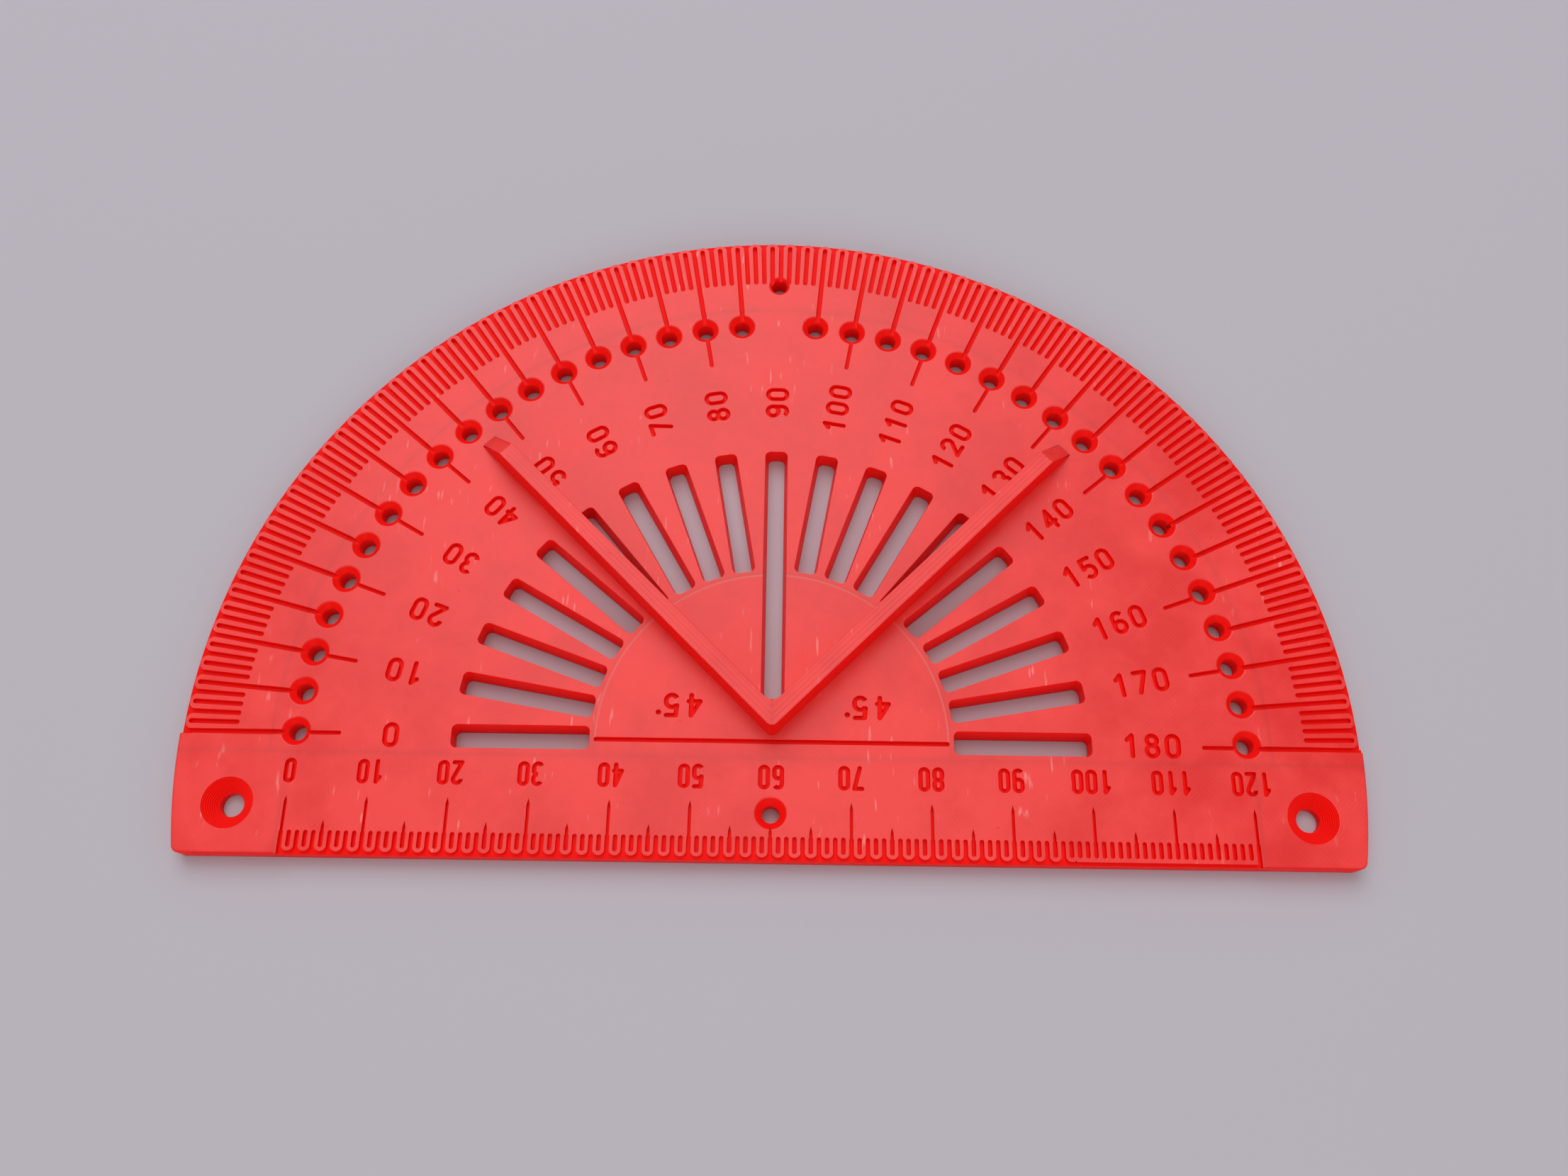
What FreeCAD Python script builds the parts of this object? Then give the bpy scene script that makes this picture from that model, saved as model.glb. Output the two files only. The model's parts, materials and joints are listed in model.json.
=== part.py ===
import FreeCAD, Part

import math
import os

# A flat center finder: a half-round protractor plate with a V fence on top, a
# millimetre ruler along its straight front edge and a screw pad at each end.
# Origin: centre of the protractor on the underside. +X to the right, +Y to the
# round side, +Z up. Millimetres and degrees.

SIZES = (
    ("plate_thickness", 3.0, "thickness of the whole flat plate"),
    ("rim_radius", 74.4, "outer radius of the protractor arc"),
    ("pad_step", 0.2, "how far the screw pads stand out past that arc"),
    ("pad_radius", "=rim_radius + pad_step", "outer radius of the pads and half the overall width"),
    ("rim_width", 11.4, "width of the ring that carries the degree marks"),
    ("rim_inner_radius", "=rim_radius - rim_width", "inner radius of that ring"),
    ("hub_radius", 22.5, "radius of the plain half disc at the middle"),
    ("front_reach", 15.0, "distance from the protractor centre to the front edge"),
    ("ruler_back", 2.25, "distance from the protractor centre to the back of the ruler bar"),
    ("edge_round", 0.35, "rounding along the top of the outer edge"),
    ("corner_round", 1.0, "plan rounding of the two front corners"),
    ("slot_gap", 0.5, "distance from the hub to the radial slots"),
    ("slot_length", 17.4, "length of a radial slot"),
    ("slot_inner", "=hub_radius + slot_gap", "radius where the radial slots start"),
    ("slot_outer", "=slot_inner + slot_length", "radius where the radial slots end"),
    ("slot_width_top", 3.0, "slot width at the top face"),
    ("slot_lean", 0.4, "how far each long wall of a slot leans in towards the underside"),
    ("slot_width_bottom", "=slot_width_top - 2 * slot_lean", "slot width at the underside"),
    ("slot_corner", 0.7, "plan rounding of the slot corners"),
    ("slot_intervals", 18, "number of equal angles between the slots over half a turn"),
    ("apex_slot_inner", 4.2, "where the slot on the centre line starts, in the mouth of the fence"),
    ("apex_slot_round", "=0.38 * slot_width_bottom", "plan rounding of that slot's inner end"),
    ("pencil_margin", 3.0, "distance from the degree ring to the circle of pencil holes"),
    ("pencil_circle", "=rim_inner_radius - pencil_margin", "radius of the row of pencil holes"),
    ("pencil_set", 0.35, "how far the centre of that row lies behind the protractor centre"),
    ("pencil_bore", 2.2, "diameter of a pencil hole below its funnel"),
    ("pencil_funnel", 0.8, "width and depth of the 45 degree funnel of a pencil hole"),
    ("pencil_mouth", "=pencil_bore + 2 * pencil_funnel", "diameter of a pencil hole at the top face"),
    ("pencil_intervals", 36, "number of equal angles between the pencil holes over half a turn"),
    ("middle_margin", 7.4, "distance from the outer edge to the single pencil hole on the centre line"),
    ("middle_set", "=rim_radius - middle_margin", "distance from the centre to that hole"),
    ("middle_funnel", 0.4, "width and depth of the 45 degree funnel of that hole"),
    ("middle_mouth", "=pencil_bore + 2 * middle_funnel", "diameter of that hole at the top face"),
    ("mark_depth", 0.6, "depth of every engraved mark"),
    ("degree_width", 0.6, "width of a degree mark"),
    ("degree_shift", 0.18, "clockwise shift of a degree mark's middle from its true angle"),
    ("degree_length", 7.1, "length of a one degree mark that runs out over the edge"),
    ("degree_inner", "=rim_radius - degree_length", "radius where the one degree marks start"),
    ("degree_closing", 0.7, "distance from the closed degree marks to the outer edge"),
    ("degree_end", "=rim_radius - degree_closing", "radius where the closed degree marks end"),
    ("degree_step", 0.25, "width of the low ledge round the outer edge"),
    ("degree_crest", "=rim_radius - degree_step", "outer radius of the wall round a closed mark"),
    ("bay_lap", 0.05, "how far the round end of such a wall runs into the open marks beside it"),
    ("stub_width", 0.5, "width of a short ten degree mark"),
    ("stub_shift", 0.15, "clockwise shift of a short mark's middle from its true angle"),
    ("stub_length", 3.8, "length of a short ten degree mark outside its pencil hole"),
    ("stub_lap", 1.4, "how far a short ten degree mark runs into its pencil hole"),
    ("stub_outer", "=pencil_circle - pencil_mouth / 2 + stub_lap", "radius where the short marks end"),
    ("stub_inner", "=pencil_circle - pencil_mouth / 2 - stub_length", "radius where they start"),
    ("mark_lap", 0.5, "how far a long degree mark runs into its pencil hole"),
    ("numeral_margin", 6.3, "distance from the short marks to the middle of the degree numerals"),
    ("numeral_radius", "=stub_inner - numeral_margin", "radius of the middle of the degree numerals"),
    ("numeral_height", 3.2, "height of the degree numerals"),
    ("numeral_width", 2.0, "width of one degree numeral"),
    ("numeral_gap", 0.6, "gap between two degree numerals"),
    ("numeral_pitch", "=numeral_width + numeral_gap", "spacing of the degree numerals"),
    ("numeral_stroke", 0.55, "stroke of the degree numerals"),
    ("ruler_length", 120.0, "length of the millimetre scale"),
    ("ruler_margin", 0.6, "bar beyond the first and last millimetre mark"),
    ("ruler_mark_length", 2.9, "length of a millimetre mark that runs out over the edge"),
    ("ruler_mark_start", "=front_reach - ruler_mark_length", "distance from the centre to the marks"),
    ("ruler_closing", 0.85, "distance from the closed millimetre marks to the front edge"),
    ("ruler_mark_end", "=front_reach - ruler_closing", "distance from the centre to their ends"),
    ("ruler_mark_width", 0.5, "width of a millimetre mark"),
    ("ruler_closed_from", 98.0, "reading from which every millimetre mark is closed"),
    ("ruler_five_extra", 1.2, "how far the five millimetre marks reach past the others"),
    ("ruler_ten_extra", 4.2, "how far the ten millimetre marks reach past the others"),
    ("ruler_tick_width", 0.34, "width of the five and ten millimetre marks"),
    ("ruler_numeral_margin", 2.45, "distance from the back of the bar to the middle of its numerals"),
    ("ruler_numeral_height", 3.1, "height of the ruler numerals"),
    ("ruler_numeral_width", 1.45, "width of one ruler numeral"),
    ("ruler_numeral_gap", 0.3, "gap between two ruler numerals"),
    ("ruler_numeral_stroke", 0.5, "stroke of the ruler numerals"),
    ("pivot_margin", 5.8, "distance from the front edge to the pivot hole in the ruler"),
    ("pivot_set", "=front_reach - pivot_margin", "distance from the centre to the pivot hole"),
    ("pivot_bore", 2.2, "diameter of the pivot hole"),
    ("pivot_funnel", 0.95, "width and depth of the 45 degree funnel of the pivot hole"),
    ("pivot_mouth", "=pivot_bore + 2 * pivot_funnel", "diameter of the pivot hole at the top face"),
    ("screw_spacing", "=rim_radius + ruler_length / 2", "distance between the screw holes"),
    ("screw_margin", 6.15, "distance from the front edge to the line of the screw holes"),
    ("screw_set", "=front_reach - screw_margin", "distance from the centre to that line"),
    ("screw_bore", 3.0, "diameter of a screw hole below its countersink"),
    ("screw_sink", 1.7, "width and depth of the 45 degree countersink"),
    ("screw_head", "=screw_bore + 2 * screw_sink", "diameter of the countersink at the top face"),
    ("base_line_width", 0.55, "width of the base line across the hub"),
    ("base_line_rise", 0.1, "how far the base line reaches behind the protractor centre"),
    ("base_line_gap", 0.1, "distance from the ends of the base line to the edge of the hub"),
    ("hub_label_offset", 12.0, "distance of a 45 degree label from the centre line"),
    ("hub_label_set", 4.4, "distance of a 45 degree label from the base line"),
    ("hub_label_gap", 0.9, "gap between the numerals of a 45 degree label"),
    ("hub_dot", 0.65, "diameter of the dot that stands for the degree sign"),
    ("fence_angle", 45.0, "angle of the right fence leg from +X; the left one mirrors it"),
    ("fence_apex", 0.3, "distance from the centre to the outer corner of the V"),
    ("fence_thickness", 2.25, "thickness of a fence leg"),
    ("fence_height", 5.0, "height of the fence above the plate"),
    ("fence_length", 57.0, "length of a fence leg on the plate"),
    ("fence_ramp", 5.0, "length of the sloping outer end of a fence leg"),
    ("fence_outer_round", 0.92, "rounding of the outer corner of the V"),
    ("fence_inner_round", 1.4, "rounding of the inner corner of the V"),
    ("overshoot", 1.0, "how far a cutting solid reaches past the faces it opens"),
)

UP = FreeCAD.Vector(0, 0, 1)
CENTRE = FreeCAD.Vector(0, 0, 0)
TOUCH = 0.01  # two places closer than this count as one

doc = FreeCAD.newDocument("CenterFinder")
sheet = doc.addObject("Spreadsheet::Sheet", "Sizes")
for row, (alias, value, note) in enumerate(SIZES, start=1):
    sheet.set(f"A{row}", note)
    sheet.set(f"B{row}", str(value))
    sheet.setAlias(f"B{row}", alias)
doc.recompute()


def size(alias):
    """Value of one named cell of the sheet, as a plain number."""
    return float(getattr(sheet, alias))


def bind(item, expressions):
    """Tie properties of a document object to sheet expressions."""
    for name, expression in expressions.items():
        item.setExpression(name, expression)
    return item


def placed(x="0", y="0", z="0"):
    """Expressions for a position."""
    return {"Placement.Base.x": x, "Placement.Base.y": y, "Placement.Base.z": z}


def box(name, length, width, height, x="0", y="0", z="0"):
    item = doc.addObject("Part::Box", name)
    return bind(item, {"Length": length, "Width": width, "Height": height, **placed(x, y, z)})


def cylinder(name, radius, height, x="0", y="0", z="0", angle=360):
    item = doc.addObject("Part::Cylinder", name)
    item.Angle = angle
    return bind(item, {"Radius": radius, "Height": height, **placed(x, y, z)})


def cone(name, low_radius, high_radius, height, x="0", y="0", z="0"):
    item = doc.addObject("Part::Cone", name)
    low_and_high = {"Radius1": low_radius, "Radius2": high_radius, "Height": height}
    return bind(item, {**low_and_high, **placed(x, y, z)})


def fuse(name, items):
    item = doc.addObject("Part::MultiFuse", name)
    item.Shapes = items
    item.Refine = True
    return item


def cut(name, base, tool):
    item = doc.addObject("Part::Cut", name)
    item.Base = base
    item.Tool = tool
    return item


def common(name, base, tool):
    item = doc.addObject("Part::Common", name)
    item.Base = base
    item.Tool = tool
    return item


def group(name, shapes):
    """One object that holds separate cutting solids."""
    item = doc.addObject("Part::Feature", name)
    item.Shape = Part.makeCompound(shapes)
    return item


def turned(shape, angle):
    """A copy of a shape turned about the vertical axis at the centre."""
    copy = shape.copy()
    copy.rotate(CENTRE, UP, angle)
    return copy


def moved(shape, x, y, z=0.0):
    copy = shape.copy()
    copy.translate(FreeCAD.Vector(x, y, z))
    return copy


def rounded(name, base, wanted):
    """Fillet the edges of base for which wanted(edge) gives a radius."""
    base.recompute(True)
    item = doc.addObject("Part::Fillet", name)
    item.Base = base
    radii = [(number, wanted(edge)) for number, edge in enumerate(base.Shape.Edges, start=1)]
    item.Edges = [(number, radius, radius) for number, radius in radii if radius]
    return item


def is_upright(edge):
    return edge.BoundBox.ZLength > 0.9 * size("plate_thickness")


# Shared places worked out from the sheet.
THICK = size("plate_thickness")
MARK_FLOOR = THICK - size("mark_depth")
MARK_CUT = size("mark_depth") + size("overshoot")
SCALE_START = -size("ruler_length") / 2
RULER_HALF = "(Sizes.ruler_length / 2 + Sizes.ruler_margin)"
THROUGH = "Sizes.plate_thickness + 2 * Sizes.overshoot"


def stadium(start, end, width, middle=0.0, open_end=False):
    """Groove cutter along +X from start to end, with round ends or one open end."""
    half = width / 2
    low, high = middle - half, middle + half
    near = start + half
    far = end if open_end else end - half
    corners = [(near, low), (far, low), (far, high), (near, high)]
    points = [FreeCAD.Vector(x, y, MARK_FLOOR) for x, y in corners]
    near_tip = FreeCAD.Vector(start, middle, MARK_FLOOR)
    far_tip = FreeCAD.Vector(end, middle, MARK_FLOOR)
    edges = [Part.makeLine(points[0], points[1])]
    if open_end:
        edges.append(Part.makeLine(points[1], points[2]))
    else:
        edges.append(Part.Arc(points[1], far_tip, points[2]).toShape())
    edges.append(Part.makeLine(points[2], points[3]))
    edges.append(Part.Arc(points[3], near_tip, points[0]).toShape())
    return Part.Face(Part.Wire(edges)).extrude(UP * MARK_CUT)


# Engraved numerals, each built once as a solid from a few strokes.

def line_stroke(start, end, stroke):
    """Straight stroke with round ends between two plan points."""
    along = FreeCAD.Vector(end[0] - start[0], end[1] - start[1], 0)
    angle = math.degrees(math.atan2(along.y, along.x))
    body = Part.makeBox(along.Length, stroke, MARK_CUT, FreeCAD.Vector(0, -stroke / 2, 0))
    body.rotate(CENTRE, UP, angle)
    body.translate(FreeCAD.Vector(start[0], start[1], 0))
    ends = [Part.makeCylinder(stroke / 2, MARK_CUT, FreeCAD.Vector(x, y, 0)) for x, y in (start, end)]
    return [body, *ends]


def arc_stroke(centre, radius, first, last, stroke):
    """Round stroke from the first angle anticlockwise to the last one."""
    place = FreeCAD.Vector(centre[0], centre[1], 0)
    outer = Part.makeCylinder(radius + stroke / 2, MARK_CUT, place, UP, last - first)
    inner = Part.makeCylinder(radius - stroke / 2, MARK_CUT, place, UP, last - first)
    ring = outer.cut(inner)
    ring.rotate(place, UP, first)
    return [ring]


def bowl_strokes(width, low, high, first, last, stroke):
    """Loop between two heights, drawn anticlockwise from the first angle to the last.

    Angle 0 is its right side. A tall loop gets straight sides, and it closes
    when the angles span a full turn.
    """
    radius = min(width, high - low) / 2
    middle, bottom, top = width / 2, low + radius, high - radius
    strokes = [
        *arc_stroke((middle, bottom), radius, first, 0, stroke),
        *arc_stroke((middle, top), radius, 0, last, stroke),
    ]
    sides = (middle - radius, middle + radius) if last - first == 360 else (middle + radius,)
    if top > bottom:
        for x in sides:
            strokes += line_stroke((x, bottom), (x, top), stroke)
    return strokes


def digit_strokes(digit, width, height, stroke):
    """Strokes of one numeral in a cell whose lower left corner is the origin."""
    bowl = width / 2
    waist = height * 0.53
    if digit == "0":
        return bowl_strokes(width, 0, height, -180, 180, stroke)
    if digit == "1":
        stem = width * 0.55
        flag = (width * 0.12, height * 0.78)
        return [
            *line_stroke((stem, 0), (stem, height), stroke),
            *line_stroke((stem, height), flag, stroke),
        ]
    if digit == "2":
        turn = (bowl + bowl * math.cos(math.radians(-30)), height - bowl * 1.5)
        return [
            *arc_stroke((bowl, height - bowl), bowl, -30, 180, stroke),
            *line_stroke(turn, (0, 0), stroke),
            *line_stroke((0, 0), (width, 0), stroke),
        ]
    if digit == "3":
        return [
            *bowl_strokes(width, waist, height, -90, 155, stroke),
            *bowl_strokes(width, 0, waist, -155, 90, stroke),
        ]
    if digit == "4":
        stem = width * 0.78
        bar = height * 0.3
        return [
            *line_stroke((stem, 0), (stem, height), stroke),
            *line_stroke((stem, height), (0, bar), stroke),
            *line_stroke((0, bar), (width, bar), stroke),
        ]
    if digit == "5":
        return [
            *line_stroke((width * 0.12, height), (width * 0.95, height), stroke),
            *line_stroke((width * 0.12, height), (width * 0.04, height * 0.52), stroke),
            *bowl_strokes(width, 0, height * 0.6, -150, 150, stroke),
        ]
    if digit in ("6", "9"):
        strokes = [
            *bowl_strokes(width, 0, height * 0.56, -180, 180, stroke),
            *line_stroke((0, bowl), (0, height - bowl), stroke),
            *arc_stroke((bowl, height - bowl), bowl, 35, 180, stroke),
        ]
        if digit == "9":
            middle = FreeCAD.Vector(bowl, height / 2, 0)
            for item in strokes:
                item.rotate(middle, UP, 180)
        return strokes
    if digit == "7":
        return [
            *line_stroke((0, height), (width, height), stroke),
            *line_stroke((width, height), (width * 0.3, 0), stroke),
        ]
    return [
        *bowl_strokes(width, waist, height, -180, 180, stroke),
        *bowl_strokes(width, 0, waist, -180, 180, stroke),
    ]


def numeral_set(width, height, stroke):
    """Ten numeral solids, centred on the origin and standing on the mark floor."""
    inner_width, inner_height = width - stroke, height - stroke
    solids = {}
    for digit in "0123456789":
        strokes = digit_strokes(digit, inner_width, inner_height, stroke)
        solid = strokes[0].multiFuse(strokes[1:]).removeSplitter()
        solids[digit] = moved(solid, -inner_width / 2, -inner_height / 2, MARK_FLOOR)
    return solids


def label(text, solids, pitch):
    """Numerals side by side along +X, centred on the origin."""
    first = -(len(text) - 1) * pitch / 2
    return [moved(solids[digit], first + place * pitch, 0) for place, digit in enumerate(text)]


def fan(intervals):
    """Angles from 0 to 180 degrees with that many equal intervals between them."""
    return [180 * number / intervals for number in range(int(intervals) + 1)]


# Radial slots through the plate. Their long walls lean in towards the underside.

def slot_cutter(name, inner, round_of):
    lean = "(Sizes.slot_width_top - Sizes.slot_width_bottom) / 2 / Sizes.plate_thickness"
    low = f"Sizes.slot_width_bottom / 2 - Sizes.overshoot * {lean}"
    high = f"Sizes.slot_width_top / 2 + Sizes.overshoot * {lean}"
    wedge = doc.addObject("Part::Wedge", name + "Blank")
    bind(wedge, {"Xmin": inner, "Xmax": "Sizes.slot_outer", "X2min": inner, "X2max": "Sizes.slot_outer"})
    bind(wedge, {"Ymin": "-Sizes.overshoot", "Ymax": "Sizes.plate_thickness + Sizes.overshoot"})
    bind(wedge, {"Zmin": f"-({low})", "Zmax": low, "Z2min": f"-({high})", "Z2max": high})
    wedge.Placement.Rotation = FreeCAD.Rotation(FreeCAD.Vector(1, 0, 0), 90)
    return rounded(name, wedge, lambda edge: round_of(edge) if is_upright(edge) else 0)


def middle_of(edge):
    return edge.BoundBox.Center


slot = slot_cutter("Slot", "Sizes.slot_inner", lambda edge: size("slot_corner"))
centre_slot = slot_cutter(
    "CentreSlot",
    "Sizes.apex_slot_inner",
    lambda edge: size("slot_corner") if middle_of(edge).x > size("slot_inner") else size("apex_slot_round"),
)

# Pencil hole: a plain bore with a 45 degree funnel at the top face.

def funnel_cutter(name, bore, mouth, x, y="0"):
    depth = f"(Sizes.{mouth} - Sizes.{bore}) / 2"
    shaft = cylinder(name + "Bore", f"Sizes.{bore} / 2", THROUGH, x, y, "-Sizes.overshoot")
    top = cone(
        name + "Funnel",
        f"Sizes.{bore} / 2",
        f"Sizes.{mouth} / 2 + Sizes.overshoot",
        f"{depth} + Sizes.overshoot",
        x,
        y,
        f"Sizes.plate_thickness - {depth}",
    )
    return fuse(name, [shaft, top])


pencil_hole = funnel_cutter("PencilHole", "pencil_bore", "pencil_mouth", "Sizes.pencil_circle")
middle_hole = funnel_cutter("MiddleHole", "pencil_bore", "middle_mouth", "0", "Sizes.middle_set")
doc.recompute()

SLOT_ANGLES = [angle for angle in fan(size("slot_intervals")) if angle != 90]
PENCIL_ANGLES = [angle for angle in fan(size("pencil_intervals")) if angle != 90]

slots = group("Slots", [turned(slot.Shape, angle) for angle in SLOT_ANGLES] + [turned(centre_slot.Shape, 90)])
pencil_row = [turned(pencil_hole.Shape, angle) for angle in PENCIL_ANGLES]
pencil_holes = group("PencilHoles", [moved(hole, 0, size("pencil_set")) for hole in pencil_row])


# Degree marks: one groove per degree, shifted a little clockwise. The grooves at
# odd degrees are closed at the edge by a wall that loops round them, the ones at
# even degrees run out over the edge. A mark with a pencil hole starts at that hole.

def degree_mark(angle):
    start = size("degree_inner")
    if angle in PENCIL_ANGLES:
        start = size("pencil_circle") + size("pencil_mouth") / 2 - size("mark_lap")
    if angle == 90:
        start = size("middle_set") + size("middle_mouth") / 2 - size("mark_lap")
    is_open = angle % 2 == 0
    end = size("rim_radius") + size("overshoot") if is_open else size("degree_end")
    mark = stadium(start, end, size("degree_width"), -size("degree_shift"), is_open)
    return turned(mark, angle)


WHOLE_DEGREES = range(0, 181)
degree_marks = group("DegreeMarks", [degree_mark(angle) for angle in WHOLE_DEGREES])
long_marks = group("LongMarks", [degree_mark(angle) for angle in WHOLE_DEGREES if angle in PENCIL_ANGLES])

# The low ledge round the edge, with a bay left standing round each closed mark.
DEGREE_PITCH = size("degree_crest") * math.radians(1)
LOOP_RADIUS = DEGREE_PITCH - size("degree_width") / 2 + size("bay_lap")
loop_place = FreeCAD.Vector(size("degree_crest") - LOOP_RADIUS, -size("degree_shift"), MARK_FLOOR)
loop = Part.makeCylinder(LOOP_RADIUS, MARK_CUT, loop_place)
loops = [turned(loop, angle) for angle in WHOLE_DEGREES if angle % 2]
sweep = 180 + 2 * math.degrees(size("degree_shift") / size("degree_crest"))
ledge_outer = Part.makeCylinder(size("rim_radius") + size("overshoot"), MARK_CUT, CENTRE, UP, sweep)
ledge_inner = Part.makeCylinder(loop_place.x, MARK_CUT, CENTRE, UP, sweep)
ledge = moved(ledge_outer.cut(ledge_inner), 0, 0, MARK_FLOOR)
degree_ledge = group("DegreeLedge", [turned(ledge, (180 - sweep) / 2).cut(Part.makeCompound(loops))])

# Short marks inward of every second pencil hole.
stub = stadium(size("stub_inner"), size("stub_outer"), size("stub_width"), -size("stub_shift"))
STUB_ANGLES = fan(size("pencil_intervals") / 2)
stubs = group("Stubs", [turned(stub, angle) for angle in STUB_ANGLES if angle in PENCIL_ANGLES])

# Degree numerals read outwards along their own radius: 0 at the left, 180 right.
degree_solids = numeral_set(size("numeral_width"), size("numeral_height"), size("numeral_stroke"))
degree_labels = []
for reading in range(0, 181, 10):
    numerals = label(str(reading), degree_solids, size("numeral_pitch"))
    degree_labels += [turned(moved(item, size("numeral_radius"), 0), 180 - reading) for item in numerals]
degree_numerals = group("DegreeNumerals", degree_labels)

# Protractor plate: half ring between the hub and the degree ring, with two arms
# that run down beside the hub to the back of the ruler.
plate_disc = cylinder("PlateDisc", "Sizes.rim_inner_radius", "Sizes.plate_thickness", angle=180)
plate_arms = box(
    "PlateArms",
    "2 * Sizes.rim_inner_radius",
    "Sizes.ruler_back",
    "Sizes.plate_thickness",
    "-Sizes.rim_inner_radius",
    "-Sizes.ruler_back",
)
hub_disc = cylinder("HubDisc", "Sizes.hub_radius", "Sizes.plate_thickness", angle=180)
hub_strip = box(
    "HubStrip",
    "2 * Sizes.hub_radius",
    "Sizes.ruler_back",
    "Sizes.plate_thickness",
    "-Sizes.hub_radius",
    "-Sizes.ruler_back",
)
plate_blank = fuse("PlateBlank", [plate_disc, plate_arms])
hub_blank = fuse("HubBlank", [hub_disc, hub_strip])
plate_ring = cut("PlateRing", plate_blank, hub_blank)
plate_slotted = cut("PlateSlotted", plate_ring, slots)
plate_holed = cut("PlateHoled", plate_slotted, pencil_holes)
plate_marked = cut("PlateMarked", plate_holed, long_marks)
plate_stubbed = cut("PlateStubbed", plate_marked, stubs)
protractor_plate = cut("protractor_plate", plate_stubbed, degree_numerals)

def top_round(edge):
    """Rounding along the top of the outer edge, beside the ruler and along the front."""
    middle = middle_of(edge)
    at_top = edge.BoundBox.ZMin > THICK - TOUCH
    at_front = middle.y < -size("front_reach") + size("corner_round")
    at_side = abs(middle.x) > size("rim_radius") - size("corner_round")
    return size("edge_round") if at_top and (at_front or at_side) else 0


# Degree ring. Below the last marks it runs on as wide as the pads, down to the
# back of the ruler.
rim_disc = cylinder("RimDisc", "Sizes.rim_radius", "Sizes.plate_thickness", angle=180)
pad_disc = cylinder("PadDisc", "Sizes.pad_radius", "Sizes.plate_thickness")
rim_strip = box(
    "RimStrip",
    "2 * Sizes.pad_radius",
    "Sizes.ruler_back",
    "Sizes.plate_thickness",
    "-Sizes.pad_radius",
    "-Sizes.ruler_back",
)
rim_foot = rounded("RimFoot", common("RimFootPlan", rim_strip, pad_disc), top_round)
rim_blank = fuse("RimBlank", [rim_disc, rim_foot])
rim_ring = cut("RimRing", rim_blank, plate_blank)
rim_marked = cut("RimMarked", rim_ring, degree_marks)
rim_edged = cut("RimEdged", rim_marked, degree_ledge)
degree_rim = cut("degree_rim", rim_edged, middle_hole)

# Hub: plain half disc with the base line and the two 45 degree labels.
BASE_REACH = size("hub_radius") - size("base_line_gap")
base_line = stadium(
    -BASE_REACH,
    BASE_REACH,
    size("base_line_width"),
    size("base_line_rise") - size("base_line_width") / 2,
)


def hub_label(side):
    """45 with a dot, reading from the far side."""
    pitch = size("numeral_width") + size("hub_label_gap")
    numerals = label("45", degree_solids, pitch)
    dot_x = pitch / 2 + size("numeral_width") / 2 + size("hub_dot")
    dot_y = size("numeral_height") / 2 - size("hub_dot")
    dot = Part.makeCylinder(size("hub_dot") / 2, MARK_CUT, FreeCAD.Vector(dot_x, dot_y, MARK_FLOOR))
    x = side * size("hub_label_offset") + size("hub_dot")
    return [moved(turned(item, 180), x, size("hub_label_set")) for item in (*numerals, dot)]


hub_marks = group("HubMarks", [base_line, *hub_label(-1), *hub_label(1)])
hub_slotted = cut("HubSlotted", hub_blank, slots)
hub_plate = cut("hub_plate", hub_slotted, hub_marks)

# V fence: two straight legs that meet in a rounded corner and end in a ramp.

def leg_blank(name, side):
    wedge = doc.addObject("Part::Wedge", name)
    root = "-2 * Sizes.fence_thickness"
    tip = "Sizes.fence_length - Sizes.fence_ramp"
    bind(wedge, {"Xmin": root, "Xmax": "Sizes.fence_length", "X2min": root, "X2max": tip})
    bind(wedge, {"Ymin": "0", "Ymax": "Sizes.fence_height"})
    thick_low = "-Sizes.fence_thickness" if side > 0 else "0"
    thick_high = "0" if side > 0 else "Sizes.fence_thickness"
    bind(wedge, {"Zmin": thick_low, "Zmax": thick_high, "Z2min": thick_low, "Z2max": thick_high})
    tilt = FreeCAD.Rotation(FreeCAD.Vector(1, 0, 0), 90)
    angle = size("fence_angle") if side > 0 else 180 - size("fence_angle")
    wedge.Placement.Rotation = FreeCAD.Rotation(UP, angle) * tilt
    return bind(wedge, {"Placement.Base.y": "Sizes.fence_apex", "Placement.Base.z": "Sizes.plate_thickness"})


def half_space(name, side):
    """Box that covers everything on one side of the centre line above the plate."""
    reach = "Sizes.rim_radius"
    start = "0" if side > 0 else "-Sizes.rim_radius"
    return box(name, reach, f"2 * {reach}", f"{reach}", start, f"-{reach}", "0")


right_side = half_space("RightSide", 1)
left_side = half_space("LeftSide", -1)
right_leg = common("RightLeg", leg_blank("RightLegBlank", 1), right_side)
left_leg = common("LeftLeg", leg_blank("LeftLegBlank", -1), left_side)
sharp_fence = fuse("SharpFence", [right_leg, left_leg])


def fence_round(edge):
    """Radius for the two upright corners on the centre line."""
    on_line = abs(middle_of(edge).x) < TOUCH and edge.BoundBox.ZLength > 0.9 * size("fence_height")
    if not on_line:
        return 0
    is_outer = middle_of(edge).y < size("fence_apex") + size("fence_thickness")
    return size("fence_outer_round") if is_outer else size("fence_inner_round")


fence = rounded("Fence", sharp_fence, fence_round)
right_fence = common("right_fence", fence, right_side)
left_fence = common("left_fence", fence, left_side)

# Millimetre ruler along the front edge. Odd marks are closed, even ones run out
# over the edge, and from one reading on all of them are closed.

def reading_x(reading):
    return SCALE_START + reading


def facing_front(shape, x):
    """Turn a cutter from +X to the front edge and set it at x."""
    return moved(turned(shape, -90), x, 0)


LAST_MARK = int(round(size("ruler_length")))
OUTER_MARKS = (0, LAST_MARK)


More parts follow.
